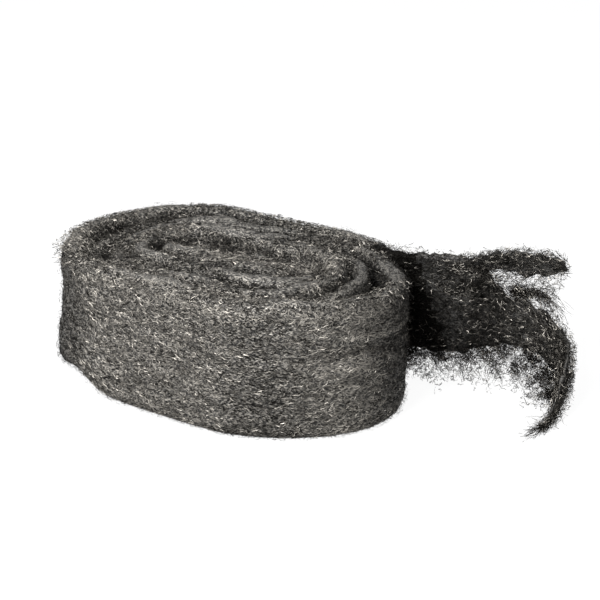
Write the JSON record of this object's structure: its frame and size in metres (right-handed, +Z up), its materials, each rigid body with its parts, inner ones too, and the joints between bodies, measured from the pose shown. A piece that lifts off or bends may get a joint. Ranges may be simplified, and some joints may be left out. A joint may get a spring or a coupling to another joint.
{
  "type": "steel wool roll",
  "caption": "Flattened spiral roll of steel wool strip standing on its edge, with the outer end pulled loose, frayed and torn into two tufts.",
  "frame": {"origin": "on the surface that the roll stands on, under the middle of the part's box", "axes": "+X along the roll's length towards the loose end, +Y to the back, where the loose end leaves the roll, +Z up across the strip's width"},
  "size_m": [0.2874, 0.1662, 0.077],
  "materials": {
    "steel_wool": "dark grey steel fibres, loose and matted, with fine bright glints"
  },
  "bodies": {
    "root": {"wool_roll": "steel_wool"}
  },
  "joints": []
}
